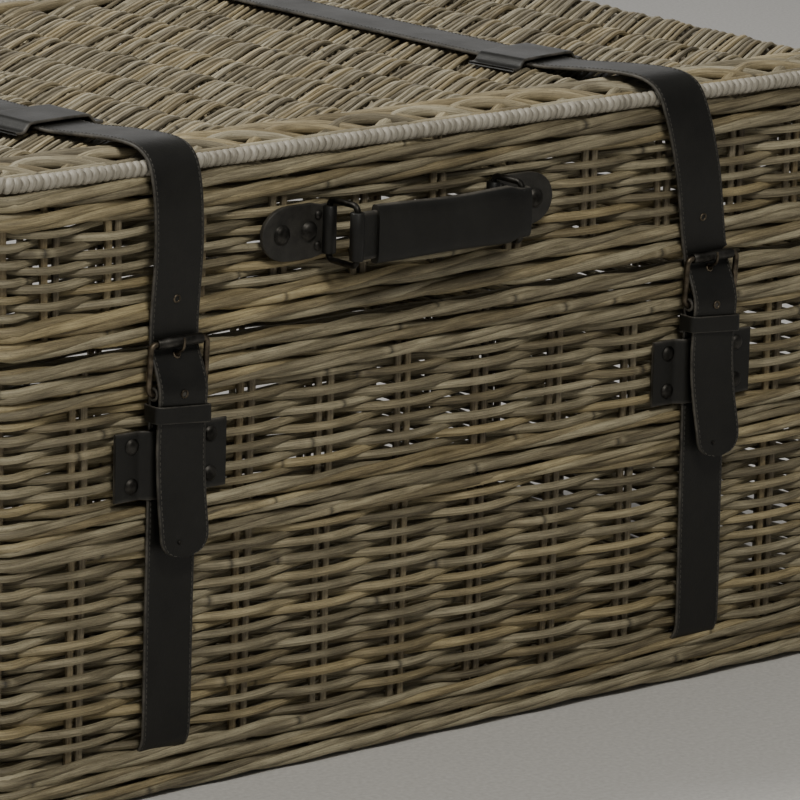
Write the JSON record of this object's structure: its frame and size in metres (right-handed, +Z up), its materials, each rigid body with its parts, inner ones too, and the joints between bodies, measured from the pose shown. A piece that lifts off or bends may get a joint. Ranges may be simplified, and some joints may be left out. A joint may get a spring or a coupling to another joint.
{
  "type": "wicker storage trunk",
  "caption": "Rectangular woven rattan trunk with a hinged lid, leather straps and buckles over the front, and a leather carrying handle on metal rings on the lid's front.",
  "frame": {"origin": "middle of the underside, on the floor", "axes": "+X along the length to the right as seen from the front, +Y from the front to the hinged back, +Z up"},
  "size_m": [0.808, 0.6172, 0.4613],
  "materials": {
    "rattan_weave": "woven rattan, weathered grey brown, matt",
    "twisted_band": "thick rattan strands twisted in rows, weathered, matt",
    "cane_wrap": "flat cane wound round a rod, grey, matt",
    "black_leather": "near-black strap leather with stitched edges, semi-matt",
    "black_metal": "blackened metal, worn, glossy on the edges",
    "bronzed_metal": "dark bronzed metal, worn bright on the edges"
  },
  "bodies": {
    "base": {"base_front_wall": "rattan_weave", "base_back_wall": "rattan_weave", "base_left_wall": "rattan_weave", "base_right_wall": "rattan_weave", "base_floor": "rattan_weave", "foot_band": "twisted_band", "base_middle_band": "twisted_band", "base_rim_band": "twisted_band", "hinge_loop_left": "cane_wrap", "hinge_loop_middle": "cane_wrap", "hinge_loop_right": "cane_wrap", "lower_strap_left": "black_leather", "lower_strap_right": "black_leather", "strap_patch_left": "black_leather", "strap_patch_right": "black_leather", "patch_rivet_left_1": "black_metal", "patch_rivet_left_2": "black_metal", "patch_rivet_left_3": "black_metal", "patch_rivet_left_4": "black_metal", "patch_rivet_right_1": "black_metal", "patch_rivet_right_2": "black_metal", "patch_rivet_right_3": "black_metal", "patch_rivet_right_4": "black_metal"},
    "lid": {"lid_front_wall": "rattan_weave", "lid_back_wall": "rattan_weave", "lid_left_wall": "rattan_weave", "lid_right_wall": "rattan_weave", "lid_lower_band": "twisted_band", "lid_upper_band": "twisted_band", "lid_top_panel": "rattan_weave", "rim_binding": "cane_wrap", "hinge_rod": "cane_wrap", "over_strap_left": "black_leather", "over_strap_right": "black_leather", "top_keeper_left": "black_leather", "top_keeper_right": "black_leather", "handle_tab_left": "black_leather", "handle_tab_right": "black_leather", "handle_rivet_left_1": "black_metal", "handle_rivet_left_2": "black_metal", "handle_rivet_right_1": "black_metal", "handle_rivet_right_2": "black_metal", "handle_small_rivet_left_1": "black_metal", "handle_small_rivet_left_2": "black_metal", "handle_small_rivet_right_1": "black_metal", "handle_small_rivet_right_2": "black_metal"},
    "strap_end_left": {"strap_end_left": "black_leather"},
    "buckle_left": {"buckle_frame_left": "bronzed_metal"},
    "prong_left": {"buckle_prong_left": "bronzed_metal"},
    "roller_left": {"buckle_roller_left": "bronzed_metal"},
    "keeper_left": {"keeper_loop_left": "black_leather"},
    "strap_end_right": {"strap_end_right": "black_leather"},
    "buckle_right": {"buckle_frame_right": "bronzed_metal"},
    "prong_right": {"buckle_prong_right": "bronzed_metal"},
    "roller_right": {"buckle_roller_right": "bronzed_metal"},
    "keeper_right": {"keeper_loop_right": "black_leather"},
    "handle_ring_left": {"handle_ring_left": "black_metal"},
    "handle_ring_right": {"handle_ring_right": "black_metal"},
    "handle_grip": {"grip_core": "black_leather", "grip_sleeve": "black_leather"}
  },
  "joints": [
    {"name": "lid_hinge", "type": "hinge", "parent": "base", "child": "lid", "pos_m": [0, 0.2873, 0.3215], "axis": [-1, 0, 0], "range_deg": [0, 95], "deforming": ["strap_end_left", "strap_end_right"]},
    {"name": "strap_bend_left", "type": "hinge", "parent": "lid", "child": "strap_end_left", "pos_m": [-0.252, -0.2817, 0.322], "axis": [1, 0, 0], "range_deg": [0, 62], "deforming": ["strap_end_left"]},
    {"name": "buckle_swing_left", "type": "hinge", "parent": "base", "child": "buckle_left", "pos_m": [-0.252, -0.28555, 0.29], "axis": [1, 0, 0], "range_deg": [0, 60], "deforming": ["strap_end_left"]},
    {"name": "prong_swing_left", "type": "hinge", "parent": "buckle_left", "child": "prong_left", "pos_m": [-0.252, -0.28555, 0.29], "axis": [1, 0, 0], "range_deg": [0, 55], "deforming": ["strap_end_left"]},
    {"name": "roller_spin_left", "type": "hinge", "parent": "buckle_left", "child": "roller_left", "pos_m": [-0.252, -0.2874, 0.325], "axis": [1, 0, 0], "continuous": true},
    {"name": "keeper_slide_left", "type": "slide", "parent": "base", "child": "keeper_left", "axis": [0, 0, 1], "range_m": [-0.0022, 0.001]},
    {"name": "strap_bend_right", "type": "hinge", "parent": "lid", "child": "strap_end_right", "pos_m": [0.252, -0.2817, 0.322], "axis": [1, 0, 0], "range_deg": [0, 62], "deforming": ["strap_end_right"]},
    {"name": "buckle_swing_right", "type": "hinge", "parent": "base", "child": "buckle_right", "pos_m": [0.252, -0.28555, 0.29], "axis": [1, 0, 0], "range_deg": [0, 60], "deforming": ["strap_end_right"]},
    {"name": "prong_swing_right", "type": "hinge", "parent": "buckle_right", "child": "prong_right", "pos_m": [0.252, -0.28555, 0.29], "axis": [1, 0, 0], "range_deg": [0, 55], "deforming": ["strap_end_right"]},
    {"name": "roller_spin_right", "type": "hinge", "parent": "buckle_right", "child": "roller_right", "pos_m": [0.252, -0.2874, 0.325], "axis": [1, 0, 0], "continuous": true},
    {"name": "keeper_slide_right", "type": "slide", "parent": "base", "child": "keeper_right", "axis": [0, 0, 1], "range_m": [-0.0022, 0.001]},
    {"name": "handle_swing", "type": "hinge", "parent": "lid", "child": "handle_ring_left", "pos_m": [-0.119, -0.2839, 0.3865], "axis": [0, 0, 1], "range_deg": [-68, 68]},
    {"name": "grip_swing", "type": "hinge", "parent": "handle_ring_left", "child": "handle_grip", "pos_m": [-0.119, -0.3139, 0.3865], "axis": [0, 0, 1], "range_deg": [-68, 68]},
    {"name": "handle_ring_right_swing", "type": "hinge", "parent": "lid", "child": "handle_ring_right", "pos_m": [0.031, -0.2839, 0.3865], "axis": [0, 0, 1], "range_deg": [-68, 68]}
  ],
  "couplings": [
    {"joint": "strap_bend_left", "follows": "lid_hinge", "ratio": 0.65},
    {"joint": "strap_bend_right", "follows": "lid_hinge", "ratio": 0.65},
    {"joint": "grip_swing", "follows": "handle_swing", "ratio": -1},
    {"joint": "handle_ring_right_swing", "follows": "handle_swing", "ratio": 1}
  ]
}
